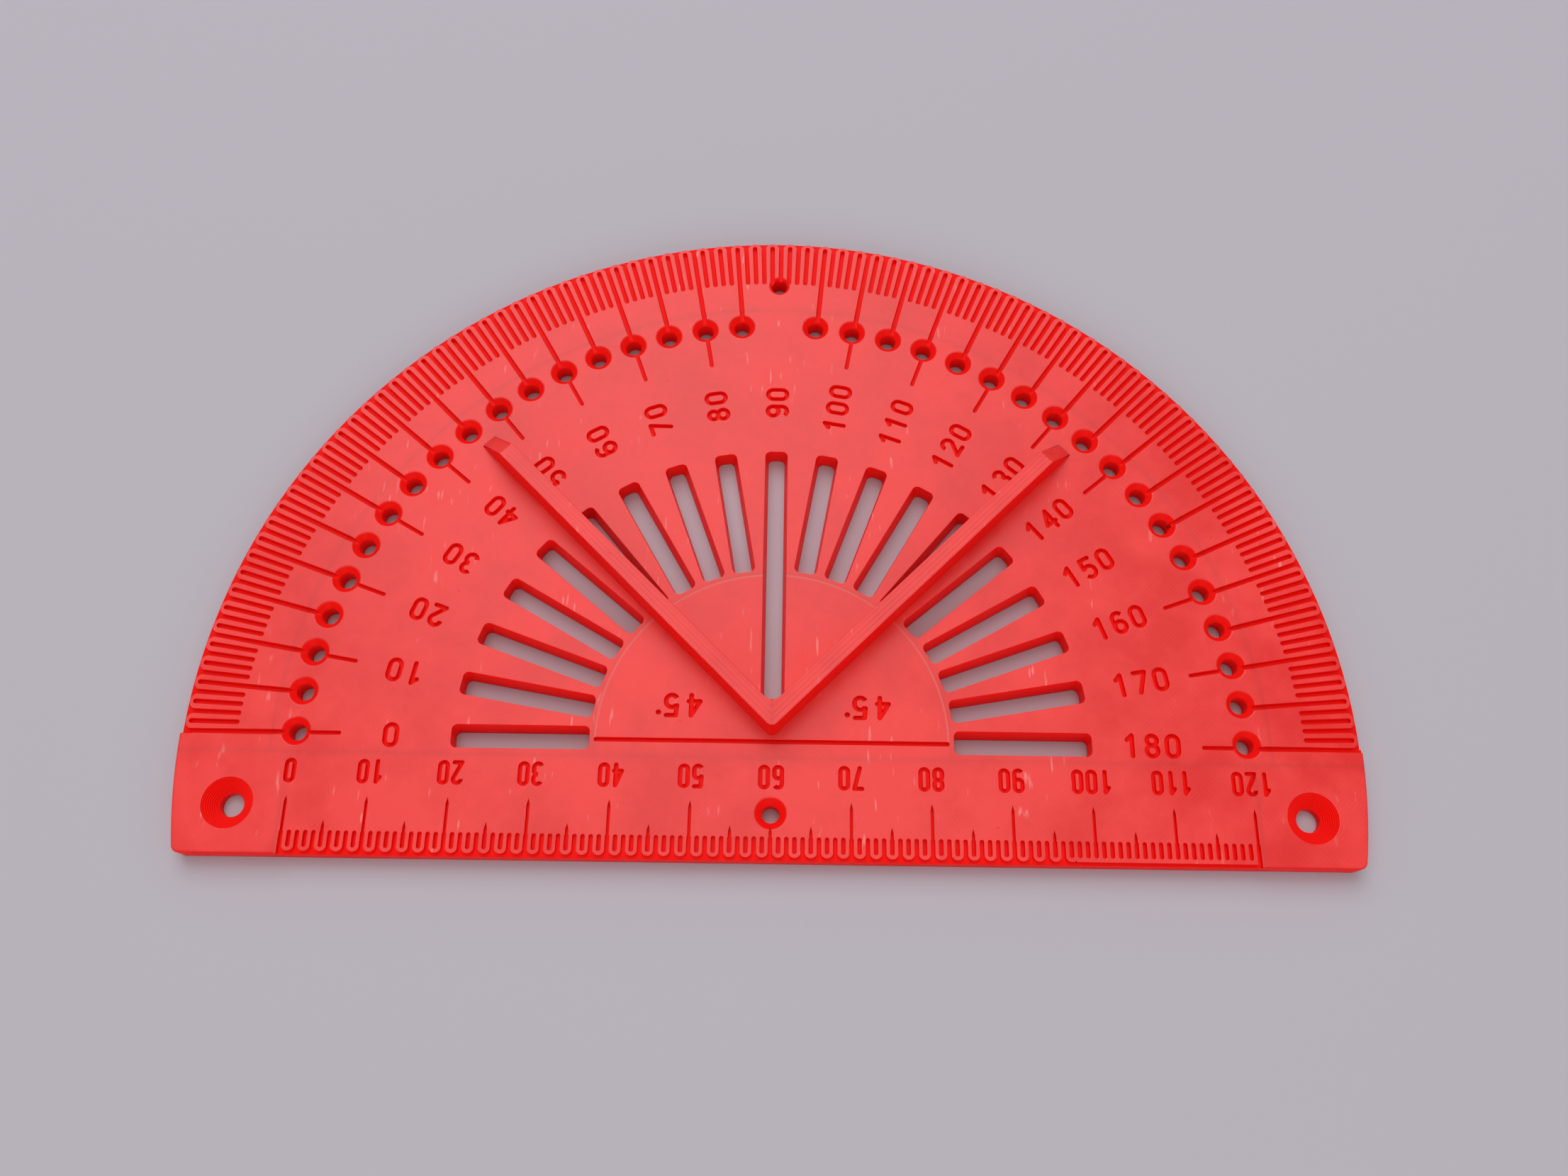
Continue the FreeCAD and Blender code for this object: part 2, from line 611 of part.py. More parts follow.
def millimetre_mark(reading):
    runs_out = reading % 2 == 0 and reading < size("ruler_closed_from") or reading in OUTER_MARKS
    end = size("front_reach") + size("overshoot") if runs_out else size("ruler_mark_end")
    mark = stadium(size("ruler_mark_start"), end, size("ruler_mark_width"), 0, runs_out)
    return facing_front(mark, reading_x(reading))


def spike(start, reading):
    """Thin mark that narrows to a point, from start to the millimetre marks."""
    half = size("ruler_tick_width") / 2
    end = size("ruler_mark_start") + size("ruler_mark_width")
    taper = min(end, start + 2 * size("ruler_tick_width"))
    plan = [(start, 0), (taper, -half), (end, -half), (end, half), (taper, half), (start, 0)]
    wire = Part.makePolygon([FreeCAD.Vector(x, y, MARK_FLOOR) for x, y in plan])
    return facing_front(Part.Face(wire).extrude(UP * MARK_CUT), reading_x(reading))


MIDDLE_READING = LAST_MARK // 2
millimetre_marks = group("MillimetreMarks", [millimetre_mark(reading) for reading in range(LAST_MARK + 1)])
FIVE_START = size("ruler_mark_start") - size("ruler_five_extra")
TEN_START = size("ruler_mark_start") - size("ruler_ten_extra")
five_marks = [spike(FIVE_START, reading) for reading in range(5, LAST_MARK, 10)]
ten_marks = [
    spike(TEN_START, reading) for reading in range(0, LAST_MARK + 1, 10) if reading != MIDDLE_READING
]
pivot_mark = spike(size("pivot_set") + size("pivot_mouth") / 2 - size("ruler_tick_width"), MIDDLE_READING)
ruler_ticks = group("RulerTicks", [*five_marks, *ten_marks, pivot_mark])

# The low ledge along the front edge, with a bay round each closed mark.
BAY_RADIUS = 1 - size("ruler_mark_width") / 2 + size("bay_lap")
bay_set = size("ruler_mark_end") + size("ruler_mark_width") - BAY_RADIUS
front_reach = size("front_reach") + size("overshoot")
mark_half = size("ruler_mark_width") / 2
bays = [
    Part.makeCylinder(BAY_RADIUS, MARK_CUT, FreeCAD.Vector(reading_x(reading), -bay_set, MARK_FLOOR))
    for reading in range(1, int(size("ruler_closed_from")), 2)
]
closed_start = reading_x(size("ruler_closed_from")) - 2 * mark_half
straight_wall = Part.makeBox(
    -SCALE_START - closed_start,
    BAY_RADIUS,
    MARK_CUT,
    FreeCAD.Vector(closed_start, -bay_set - BAY_RADIUS, MARK_FLOOR),
)
front_strip = Part.makeBox(
    -2 * SCALE_START, front_reach - bay_set, MARK_CUT, FreeCAD.Vector(SCALE_START, -front_reach, MARK_FLOOR)
)
front_ledge = group("FrontLedge", [front_strip.cut([*bays, straight_wall])])

ruler_solids = numeral_set(
    size("ruler_numeral_width"), size("ruler_numeral_height"), size("ruler_numeral_stroke")
)
RULER_PITCH = size("ruler_numeral_width") + size("ruler_numeral_gap")
numeral_set_y = -size("ruler_back") - size("ruler_numeral_margin")
ruler_labels = []
for reading in range(0, LAST_MARK + 1, 10):
    numerals = label(str(reading), ruler_solids, RULER_PITCH)
    ruler_labels += [moved(turned(item, 180), reading_x(reading), numeral_set_y) for item in numerals]
ruler_numerals = group("RulerNumerals", ruler_labels)

pivot_hole = funnel_cutter("PivotHole", "pivot_bore", "pivot_mouth", "0", "-Sizes.pivot_set")
ruler_blank = box(
    "RulerBlank",
    f"2 * {RULER_HALF}",
    "Sizes.front_reach - Sizes.ruler_back",
    "Sizes.plate_thickness",
    f"-{RULER_HALF}",
    "-Sizes.front_reach",
)
ruler_marked = cut("RulerMarked", ruler_blank, millimetre_marks)
ruler_ticked = cut("RulerTicked", ruler_marked, ruler_ticks)
ruler_edged = cut("RulerEdged", ruler_ticked, front_ledge)
ruler_lettered = cut("RulerLettered", ruler_edged, ruler_numerals)
ruler_bar = cut("ruler_bar", ruler_lettered, pivot_hole)


# Corner pads with their countersunk screw holes. Their outer walls follow the
# circle of the pads, and the first and last ruler numerals reach onto them.

def pad_round(edge):
    """Plan rounding of the front corner."""
    middle = middle_of(edge)
    at_front = abs(middle.y + size("front_reach")) < TOUCH
    at_side = abs(middle.x) > size("ruler_length") / 2 + size("corner_round")
    return size("corner_round") if at_front and at_side and is_upright(edge) else 0


def corner_pad(node, name, side):
    blank = box(
        name + "Blank",
        f"Sizes.pad_radius - {RULER_HALF}",
        "Sizes.front_reach - Sizes.ruler_back",
        "Sizes.plate_thickness",
        RULER_HALF if side > 0 else "-Sizes.pad_radius",
        "-Sizes.front_reach",
    )
    cornered = rounded(name + "Cornered", common(name + "Plan", blank, pad_disc), pad_round)
    edged = rounded(name + "Edged", cornered, top_round)
    lettered = cut(name + "Lettered", edged, ruler_numerals)
    sign = "" if side > 0 else "-"
    hole = funnel_cutter(
        name + "Screw", "screw_bore", "screw_head", f"{sign}Sizes.screw_spacing / 2", "-Sizes.screw_set"
    )
    return cut(node, lettered, hole)


left_corner_pad = corner_pad("left_corner_pad", "LeftPad", -1)
right_corner_pad = corner_pad("right_corner_pad", "RightPad", 1)
doc.recompute()

NODES = (
    protractor_plate,
    degree_rim,
    hub_plate,
    left_fence,
    right_fence,
    ruler_bar,
    left_corner_pad,
    right_corner_pad,
)

for item in doc.Objects:
    if "Invalid" in item.State or "Error" in item.State:
        raise RuntimeError(f"{item.Label} failed: {item.State}")
for node in NODES:
    node.Label = node.Name
    if node.Shape.isNull() or not node.Shape.isValid() or not node.Shape.Solids:
        raise RuntimeError(f"{node.Label} has no valid solid")

os.makedirs("parts", exist_ok=True)
for node in NODES:
    node.Shape.exportStep(f"parts/{node.Label}.step")
    volume = node.Shape.Volume
    print(f"{node.Label}: {len(node.Shape.Solids)} solid, {len(node.Shape.Faces)} faces, {volume:.1f} mm3")
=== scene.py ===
"""Center finder printed in red PLA: rounded print edges, stepped funnels, fence beads and finish."""

import json
import logging
import math
from dataclasses import dataclass
from enum import Enum

import bmesh
import bpy
from mathutils import Matrix, Vector
from mathutils.geometry import delaunay_2d_cdt

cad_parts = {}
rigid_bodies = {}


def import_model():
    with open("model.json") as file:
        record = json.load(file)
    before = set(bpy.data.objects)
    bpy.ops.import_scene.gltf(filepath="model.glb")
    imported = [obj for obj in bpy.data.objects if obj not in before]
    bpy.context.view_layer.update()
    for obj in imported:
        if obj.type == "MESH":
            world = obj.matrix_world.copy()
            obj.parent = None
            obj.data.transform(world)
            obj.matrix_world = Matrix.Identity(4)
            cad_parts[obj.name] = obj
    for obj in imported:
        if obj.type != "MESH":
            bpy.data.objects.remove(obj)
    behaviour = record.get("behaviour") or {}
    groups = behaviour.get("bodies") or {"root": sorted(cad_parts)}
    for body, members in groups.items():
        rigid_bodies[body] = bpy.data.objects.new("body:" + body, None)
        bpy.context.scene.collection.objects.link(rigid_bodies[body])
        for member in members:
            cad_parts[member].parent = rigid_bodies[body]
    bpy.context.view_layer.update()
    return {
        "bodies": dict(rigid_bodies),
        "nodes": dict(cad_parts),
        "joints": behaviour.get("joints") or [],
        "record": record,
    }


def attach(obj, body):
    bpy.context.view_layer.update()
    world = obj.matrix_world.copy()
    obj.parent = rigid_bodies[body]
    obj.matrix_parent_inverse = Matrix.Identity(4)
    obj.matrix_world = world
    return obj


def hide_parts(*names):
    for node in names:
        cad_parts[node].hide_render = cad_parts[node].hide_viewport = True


log = logging.getLogger("center_finder")

Tree = bpy.types.NodeTree
Socket = bpy.types.NodeSocket
Colour = tuple[float, float, float, float]
Point = tuple[float, float, float]

MM = 0.001
BODY = "root"
STRONG_FACE = 16384
FACE_STRENGTH = "__mod_weightednormals_faceweight"


class Side(Enum):
    """The two mirrored halves of the tool."""

    LEFT = -1
    RIGHT = 1


class EdgeKind(Enum):
    """How strongly an edge of the print is rounded, as a share of the edge radius."""

    TOP = 1.0
    STEP = 0.55
    UNDER = 0.9


def linear(code: str) -> Colour:
    """Turn an sRGB hex colour into linear colour.

    Args:
        code: Six hex digits, with or without a leading hash.

    Returns:
        Linear red, green, blue and an alpha of 1.
    """
    digits = code.lstrip("#")
    channels = [int(digits[place : place + 2], 16) / 255 for place in (0, 2, 4)]
    curved = [c / 12.92 if c <= 0.04045 else ((c + 0.055) / 1.055) ** 2.4 for c in channels]
    return (*curved, 1.0)


def add_node(tree: Tree, kind: str, settings: dict | None = None, inputs: dict | None = None) -> bpy.types.Node:
    """Add one shader node with its settings and inputs.

    Args:
        tree: Node tree that takes the node.
        kind: Node type, such as ShaderNodeTexNoise.
        settings: Attributes to set on the node.
        inputs: Socket name or number to a value, or to an output socket to link from.

    Returns:
        The new node.
    """
    node = tree.nodes.new(kind)
    for name, value in (settings or {}).items():
        setattr(node, name, value)
    for name, value in (inputs or {}).items():
        if isinstance(value, Socket):
            tree.links.new(value, node.inputs[name])
        else:
            node.inputs[name].default_value = value
    return node


def pick(piece: bpy.types.Object) -> None:
    """Select one object alone and make it active.

    Args:
        piece: The object.
    """
    bpy.ops.object.select_all(action="DESELECT")
    piece.select_set(True)
    bpy.context.view_layer.objects.active = piece


def apply_all(piece: bpy.types.Object) -> None:
    """Apply every modifier of a piece in order.

    Args:
        piece: The object with the modifiers.
    """
    pick(piece)
    for modifier in list(piece.modifiers):
        bpy.ops.object.modifier_apply(modifier=modifier.name)


@dataclass(frozen=True)
class PrintedPLA:
    """Red PLA from a filament printer, laid in flat 0.2 mm layers.

    The bare plastic is deep red, satin and slightly translucent. The hot nozzle
    ironed the last layer, so the outermost level faces are glossier; their paler
    colour, with paler cloudy patches, is painted sheen. They also carry faint
    toolpath lines, pinholes and pale scuff marks, and a pale line round the hub
    is a painted highlight along a slight ridge.
    Walls and funnels show one fine rib for each layer. The scales of the
    patterns are features per metre.
    """

    name: str = "red_pla_filament_print"
    body_hex: str = "#F8140E"
    # The next two colours are painted sheen: the pale colour of the outermost level faces and its paler cloudy
    # patches.
    sheen_hex: str = "#E4221E"
    sheen_patch_hex: str = "#F53B37"
    # Pale colour of the scuff marks, also used for the painted highlight line round the hub.
    scuff_and_highlight_hex: str = "#F9AFA8"
    layer_mm: float = 0.2
    line_mm: float = 0.45
    ior: float = 1.46
    top_mm: float = 3.0
    hub_line_mm: float = 22.3
    cloud_scale: float = 95.0
    grain_scale: float = 1400.0
    pinhole_scale: float = 200.0
    scuff_scale: Point = (1500.0, 260.0, 90.0)

    def build(self) -> bpy.types.Material:
        """Make the material.

        Returns:
            The node material, with all its patterns on Object coordinates.
        """
        material = bpy.data.materials.new(self.name)
        material.use_nodes = True
        tree = material.node_tree
        tree.nodes.clear()
        place = add_node(tree, "ShaderNodeTexCoord").outputs["Object"]
        # Mask of the outermost faces, which take the painted sheen colour and a real higher gloss, and mask of
        # all level faces.
        sheen_skin, level = self._sheen_skin_masks(tree, place)
        # Cloudy smear patches, about 10 mm across: they vary roughness and relief, and paint paler sheen on the
        # outermost faces.
        clouds = self._noise(tree, place, self.cloud_scale, 4.0)
        # Grain of the plastic, about 0.7 mm across.
        grain = self._noise(tree, place, self.grain_scale, 3.0)
        lines = self._toolpaths(tree, place)
        holes = self._pinholes(tree, place)
        scuff_marks_and_highlight = self._scuffs_and_hub_highlight(tree, place, clouds)

        # Painted sheen colour for the outermost faces: paler than the bare red, paler again in cloudy patches
        # and along the toolpath lines.
        sheen_patches = self._span(tree, clouds, 0.36, 0.64)
        sheen_patches_and_toolpaths = self._math(tree, "MULTIPLY_ADD", lines, 0.16, sheen_patches)
        sheen_colour = self._mix(tree, sheen_patches_and_toolpaths, linear(self.sheen_hex), linear(self.sheen_patch_hex))
        pricked = self._mix(tree, holes, sheen_colour, linear(self.body_hex))
        # Pale scuff marks, and the painted highlight line round the hub.
        scuffed_and_highlit = self._mix(tree, scuff_marks_and_highlight, pricked, linear(self.scuff_and_highlight_hex))
        # Painted sheen on the outermost faces, bare red everywhere else.
        colour = self._mix(tree, sheen_skin, linear(self.body_hex), scuffed_and_highlit)

        # One rib per 0.2 mm layer on walls and funnels; smear, grain and pinholes on level faces.
        ribs = add_node(
            tree,
            "ShaderNodeTexWave",
            {"bands_direction": "Z", "wave_profile": "SIN"},
            {"Vector": place, "Scale": self._bands(self.layer_mm), "Distortion": 0.0},
        ).outputs["Fac"]
        soft = self._math(tree, "MULTIPLY_ADD", lines, 0.1, self._math(tree, "MULTIPLY", clouds, 1.6))
        grained = self._math(tree, "MULTIPLY_ADD", grain, 0.3, soft)
        pitted = self._math(tree, "SUBTRACT", grained, holes)
        sources = {"Factor": level, "A": ribs, "B": pitted}
        relief = add_node(tree, "ShaderNodeMix", {"data_type": "FLOAT"}, sources).outputs[0]
        heights = {"Height": relief, "Strength": 0.4, "Distance": 0.05 * MM}
        bump = add_node(tree, "ShaderNodeBump", inputs=heights).outputs[0]
        shader = add_node(
            tree,
            "ShaderNodeBsdfPrincipled",
            inputs={
                "Base Color": colour,
                "Roughness": self._span(tree, clouds, 0.3, 0.7, 0.3, 0.46),
                "IOR": self.ior,
                "Specular IOR Level": self._span(tree, sheen_skin, 0.0, 1.0, 0.06, 0.5),
                "Normal": bump,
                "Subsurface Weight": 0.3,
                "Subsurface Radius": (1.0, 0.2, 0.12),
                "Subsurface Scale": 1.2 * MM,
            },
        )
        add_node(tree, "ShaderNodeOutputMaterial", inputs={"Surface": shader.outputs[0]})
        return material

    def _sheen_skin_masks(self, tree: Tree, place: Socket) -> tuple[Socket, Socket]:
        """Masks of the outermost faces, which take the painted sheen, and of all level faces.

        Args:
            tree: Node tree of the material.
            place: Object coordinates.

        Returns:
            Two sockets: 1 on the outermost faces that take the painted sheen, and 1 wherever a face looks up or
                down.
        """
        facing = add_node(tree, "ShaderNodeNewGeometry").outputs["True Normal"]
        turned = add_node(tree, "ShaderNodeSeparateXYZ", inputs={0: facing}).outputs["Z"]
        steep = self._math(tree, "ABSOLUTE", turned)
        level = self._span(tree, steep, 0.9, 0.98)
        sloped = self._span(tree, steep, 0.5, 0.68)
        height = add_node(tree, "ShaderNodeSeparateXYZ", inputs={0: place}).outputs["Z"]
        raised = self._span(tree, height, (self.top_mm - 0.14) * MM, (self.top_mm - 0.06) * MM)
        first = self._span(tree, height, 0.12 * MM, 0.04 * MM)
        outer = self._math(tree, "MAXIMUM", raised, first)
        return self._math(tree, "MULTIPLY", outer, sloped), level

    def _toolpaths(self, tree: Tree, place: Socket) -> Socket:
        """Lines of the last layer, one 0.45 mm nozzle width apart, at 45 degrees.

        Args:
            tree: Node tree of the material.
            place: Object coordinates.

        Returns:
            Wave between 0 and 1 across the lines.
        """
        turn = {"Vector": place, "Rotation": (0.0, 0.0, math.radians(45))}
        turned = add_node(tree, "ShaderNodeMapping", inputs=turn).outputs[0]
        return add_node(
            tree,
            "ShaderNodeTexWave",
            {"bands_direction": "X", "wave_profile": "SIN"},
            {"Vector": turned, "Scale": self._bands(self.line_mm), "Distortion": 1.5, "Detail": 1.0},
        ).outputs["Fac"]

    def _pinholes(self, tree: Tree, place: Socket) -> Socket:
        """Sparse pinholes in the skin, about 0.35 mm wide, one in every few 5 mm cells.

        Args:
            tree: Node tree of the material.
            place: Object coordinates.

        Returns:
            Mask that is 1 in the pinholes.
        """
        grid = {"Vector": place, "Scale": self.pinhole_scale}
        cells = add_node(tree, "ShaderNodeTexVoronoi", inputs=grid).outputs
        near = self._span(tree, cells["Distance"], 0.045, 0.03)
        chance = add_node(tree, "ShaderNodeSeparateColor", inputs={0: cells["Color"]}).outputs[0]
        return self._math(tree, "MULTIPLY", near, self._span(tree, chance, 0.6, 0.62))

    def _scuffs_and_hub_highlight(self, tree: Tree, place: Socket, clouds: Socket) -> Socket:
        """Pale scuff dashes, 2 to 4 mm long, and a faint pale line round the hub: a painted highlight along the
        slight ridge that a stop left there.

        Args:
            tree: Node tree of the material.
            place: Object coordinates.
            clouds: Smear patches that the dashes gather in.

        Returns:
            Strength of the scuff marks and of the painted highlight line.
        """
        stretch = {"Vector": place, "Scale": self.scuff_scale}
        stretched = add_node(tree, "ShaderNodeMapping", inputs=stretch).outputs[0]
        dashes = self._span(tree, self._noise(tree, stretched, 1.0, 1.0), 0.68, 0.74, 0.0, 0.4)
        gathered = self._math(tree, "MULTIPLY", dashes, self._span(tree, clouds, 0.5, 0.62))
        # Painted highlight: a faint pale line along the slight ridge round the hub, on the plate's level behind
        # the baseline.
        flat = {"Vector": place, "Scale": (1.0, 1.0, 0.0)}
        plan = add_node(tree, "ShaderNodeMapping", inputs=flat).outputs[0]
        reach = add_node(tree, "ShaderNodeVectorMath", {"operation": "LENGTH"}, {0: plan}).outputs["Value"]
        apart = self._math(tree, "ABSOLUTE", self._math(tree, "SUBTRACT", reach, self.hub_line_mm * MM))
        ring = self._span(tree, apart, 0.2 * MM, 0.05 * MM, 0.0, 0.16)
        axes = add_node(tree, "ShaderNodeSeparateXYZ", inputs={0: place}).outputs
        behind = self._span(tree, axes["Y"], 0.0, 0.3 * MM)
        below = self._span(tree, axes["Z"], (self.top_mm + 0.2) * MM, (self.top_mm + 0.1) * MM)
        hub_highlight = self._math(tree, "MULTIPLY", ring, self._math(tree, "MULTIPLY", behind, below))
        return self._math(tree, "MAXIMUM", gathered, hub_highlight)

    @staticmethod
    def _noise(tree: Tree, place: Socket, scale: float, detail: float) -> Socket:
        """Noise of a given feature size.

        Args:
            tree: Node tree of the material.
            place: Coordinates.
            scale: Features per unit of the coordinates.
            detail: Octaves.

        Returns:
            Noise between 0 and 1.
        """
        inputs = {"Vector": place, "Scale": scale, "Detail": detail, "Roughness": 0.6}
        return add_node(tree, "ShaderNodeTexNoise", inputs=inputs).outputs["Fac"]

    @staticmethod
    def _span(
        tree: Tree, value: Socket, start: float, end: float, low: float = 0.0, high: float = 1.0
    ) -> Socket:
        """Clamped ramp over a value.

        Args:
            tree: Node tree of the material.
            value: What the ramp runs over.
            start: Value where the ramp starts.
            end: Value where the ramp ends.
            low: Result at the start.
            high: Result at the end.

        Returns:
            Result of the ramp.
        """
        limits = {"Value": value, "From Min": start, "From Max": end, "To Min": low, "To Max": high}
        return add_node(tree, "ShaderNodeMapRange", inputs=limits).outputs[0]

    @staticmethod
    def _math(tree: Tree, operation: str, *values: Socket | float) -> Socket:
        """One Math node.

        Args:
            tree: Node tree of the material.
            operation: Name of the operation.
            values: Its inputs in order.

        Returns:
            Result of the operation.
        """
        return add_node(tree, "ShaderNodeMath", {"operation": operation}, dict(enumerate(values))).outputs[0]

    @staticmethod
    def _mix(tree: Tree, factor: Socket, low: Socket | Colour, high: Socket | Colour) -> Socket:
        """Blend of two colours.

        Args:
            tree: Node tree of the material.
            factor: 0 for the first colour, 1 for the second.
            low: First colour.
            high: Second colour.

        Returns:
            Colour between the two.
        """
        return add_node(tree, "ShaderNodeMix", {"data_type": "RGBA"}, {0: factor, 6: low, 7: high}).outputs[2]

    @staticmethod
    def _bands(period_mm: float) -> float:
        """Scale of a wave texture, whose own period is pi / 10, for one band per period.

        Args:
            period_mm: Distance between two bands.

        Returns:
            The texture's scale.
        """
        return 2 * math.pi / (20 * period_mm * MM)


@dataclass
class PrintedNode:
    """A CAD solid of the print, with merged faces and nozzle-rounded edges."""

    node: str
    edge_mm: float = 0.08
    top_mm: float = 3.0
    base_mm: float = 0.0
    ruler_back_mm: float = 2.25
    rim_seam_mm: float = 63.0
    hub_seam_mm: float = 22.5
    bar_end_mm: float = 60.6
    seam_slack_mm: float = 0.02
    plane_slack_mm: float = 0.01
    flat_slack_mm: float = 0.003
    flat_normal: float = 0.999
    sharp: float = math.radians(30)
    same_side: float = math.cos(math.radians(32))

    def copy(self, frame: dict) -> bpy.types.Object:
        """Copy the CAD node as one merged mesh.

        Args:
            frame: The loaded frame.

        Returns:
            The new piece.
        """
        pick(frame["nodes"][self.node])
        bpy.ops.object.duplicate()
        piece = bpy.context.object
        for key in list(piece.keys()):
            del piece[key]
        bpy.ops.object.parent_clear(type="CLEAR_KEEP_TRANSFORM")
        piece.name = piece.data.name = self.node + "_print"
        bpy.ops.mesh.customdata_custom_splitnormals_clear()
        bpy.ops.object.mode_set(mode="EDIT")
        bpy.ops.mesh.select_all(action="SELECT")
        bpy.ops.mesh.remove_doubles(threshold=0.001 * MM)
        bpy.ops.mesh.dissolve_limited(angle_limit=math.radians(0.5))
        bpy.ops.object.mode_set(mode="OBJECT")
        return piece

    def on_seam(self, point: Vector) -> bool:
        """Whether a point lies on a joint between two regions of the print.

        Args:
            point: Position in metres.

        Returns:
            True on a joint, where the print runs through and no edge shows.
        """
        x, y = abs(point.x) / MM, point.y / MM
        reach = math.hypot(x, max(y, 0.0))
        near = self.seam_slack_mm
        if abs(y + self.ruler_back_mm) < near:
            return True
        if y < -self.ruler_back_mm:
            return abs(x - self.bar_end_mm) < near
        return abs(reach - self.rim_seam_mm) < near or abs(reach - self.hub_seam_mm) < near

    def edge_kind(self, edge: bmesh.types.BMEdge) -> EdgeKind | None:
        """How an edge is rounded, or None where it stays sharp.

        Args:
            edge: Edge of the merged mesh.

        Returns:
            The kind, or None.
        """
        if len(edge.link_faces) != 2 or edge.calc_face_angle(0.0) < self.sharp:
            return None
        if all(self.on_seam(vert.co) for vert in edge.verts):
            return None
        heights = [vert.co.z / MM for vert in edge.verts]
        if all(abs(height - self.top_mm) < self.plane_slack_mm for height in heights):
            return EdgeKind.TOP
        if all(abs(height) < self.plane_slack_mm for height in heights):
            return EdgeKind.UNDER
        return None

    def shape(self, piece: bpy.types.Object) -> None:
        """Change the merged mesh before its edges are rounded; the plain regions need no change.

        Args:
            piece: The merged mesh; not used here.
        """

    def round_edges(self, piece: bpy.types.Object) -> None:
        """Round the marked edges to the radius that a nozzle leaves.

        Args:
            piece: The merged and shaped mesh.
        """
        mesh = bmesh.new()
        mesh.from_mesh(piece.data)
        weight = mesh.edges.layers.float.new("bevel_weight_edge")
        for edge in mesh.edges:
            kind = self.edge_kind(edge)
            edge[weight] = kind.value if kind else 0.0
        mesh.to_mesh(piece.data)
        mesh.free()
        bevel = piece.modifiers.new("nozzle_round", "BEVEL")
        bevel.width = self.edge_mm * MM
        bevel.segments = 2
        bevel.limit_method = "WEIGHT"
        bevel.use_clamp_overlap = False
        bevel.loop_slide = False
        bevel.face_strength_mode = "FSTR_ALL"
        apply_all(piece)
        self.refill(piece, self.top_mm, True)
        self.refill(piece, self.base_mm, False)
        self.blend(piece)

    def blend(self, piece: bpy.types.Object) -> None:
        """Shade level and wall faces true and let each rounded edge blend between them.

        Args:
            piece: The print with rounded edges and refilled faces.
        """
        pick(piece)
        bpy.ops.object.shade_smooth()
        mesh = bmesh.new()
        mesh.from_mesh(piece.data)
        strength = mesh.faces.layers.int[FACE_STRENGTH]
        normals = []
        for face in mesh.faces:
            for loop in face.loops:
                around = loop.vert.link_faces
                strong = [other for other in around if other[strength] == STRONG_FACE]
                lead = face
                if strong and face[strength] != STRONG_FACE:
                    lead = max(strong, key=lambda other: other.normal.dot(face.normal))
                same = [other for other in strong or around if other.normal.dot(lead.normal) > self.same_side]
                total = sum((other.normal * other.calc_area() for other in same), Vector())
                normals.append(total.normalized() if total.length > 0 else face.normal.copy())
        mesh.free()
        piece.data.normals_split_custom_set(normals)

    def refill(self, piece: bpy.types.Object, level_mm: float, faces_up: bool) -> None:
        """Lay the large level face afresh as plain triangles between its outlines.

        Args:
            piece: The print with rounded edges.
            level_mm: Height of the face.
            faces_up: Whether the face looks up or down.
        """
        mesh = bmesh.new()
        mesh.from_mesh(piece.data)
        sign = 1.0 if faces_up else -1.0
        level = {
            face
            for face in mesh.faces
            if face.normal.z * sign > self.flat_normal
            and all(abs(vert.co.z / MM - level_mm) < self.flat_slack_mm for vert in face.verts)
        }
        rims = []
        inner = []
        for edge in {edge for face in level for edge in face.edges}:
            mine = [face for face in edge.link_faces if face in level]
            if len(mine) == 2:
                inner.append(edge)
                continue
            loop = next(loop for loop in mine[0].loops if loop.edge is edge)
            rims.append((loop.vert, loop.link_loop_next.vert))
        bmesh.ops.delete(mesh, geom=list(level), context="FACES_ONLY")
        bmesh.ops.delete(mesh, geom=[edge for edge in inner if edge.is_valid], context="EDGES")
        verts = list({vert for pair in rims for vert in pair})
        number = {vert: place for place, vert in enumerate(verts)}
        directed = {(number[start], number[end]) for start, end in rims}
        plan = [Vector((vert.co.x / MM, vert.co.y / MM * sign)) for vert in verts]
        outline = sorted(directed)
        made, links, triangles, origins, link_origins, _ = delaunay_2d_cdt(plan, outline, [], 0, 1e-6)
        corners = []
        for place, sources in zip(made, origins):
            spot = Vector((place.x * MM, place.y * MM * sign, level_mm * MM))
            corners.append(verts[sources[0]] if sources else mesh.verts.new(spot))
        walls = {}
        for (start, end), sources in zip(links, link_origins):
            if sources:
                first, last = outline[sources[0]]
                along = (made[end] - made[start]).dot(plan[last] - plan[first]) > 0
                walls[(start, end)] = along
                walls[(end, start)] = not along
        strength = mesh.faces.layers.int[FACE_STRENGTH]
        for triangle in self._inside(triangles, walls):
            found = [corners[corner] for corner in triangle]
            if len(set(found)) == 3 and not mesh.faces.get(found):
                face = mesh.faces.new(found)
                face[strength] = STRONG_FACE
        mesh.to_mesh(piece.data)
        mesh.free()

    @staticmethod
    def _inside(triangles: list, walls: dict) -> list:
        """Keep the triangles on the inner side of the outlines.

        Args:
            triangles: Corner numbers, anticlockwise.
            walls: For each directed outline edge, whether the face lies on its left.

        Returns:
            The triangles to keep.
        """
        beside = {}
        kept = {}
        for place, triangle in enumerate(triangles):
            for pair in zip(triangle, (*triangle[1:], triangle[0])):
                beside[pair] = place
                if pair in walls:
                    kept[place] = walls[pair]
        front = list(kept)
        while front:
            place = front.pop()
            triangle = triangles[place]
            for pair in zip(triangle, (*triangle[1:], triangle[0])):
                other = beside.get(pair[::-1])
                if pair not in walls and other is not None and other not in kept:
                    kept[other] = kept[place]
                    front.append(other)
        return [triangles[place] for place, inside in sorted(kept.items()) if inside]

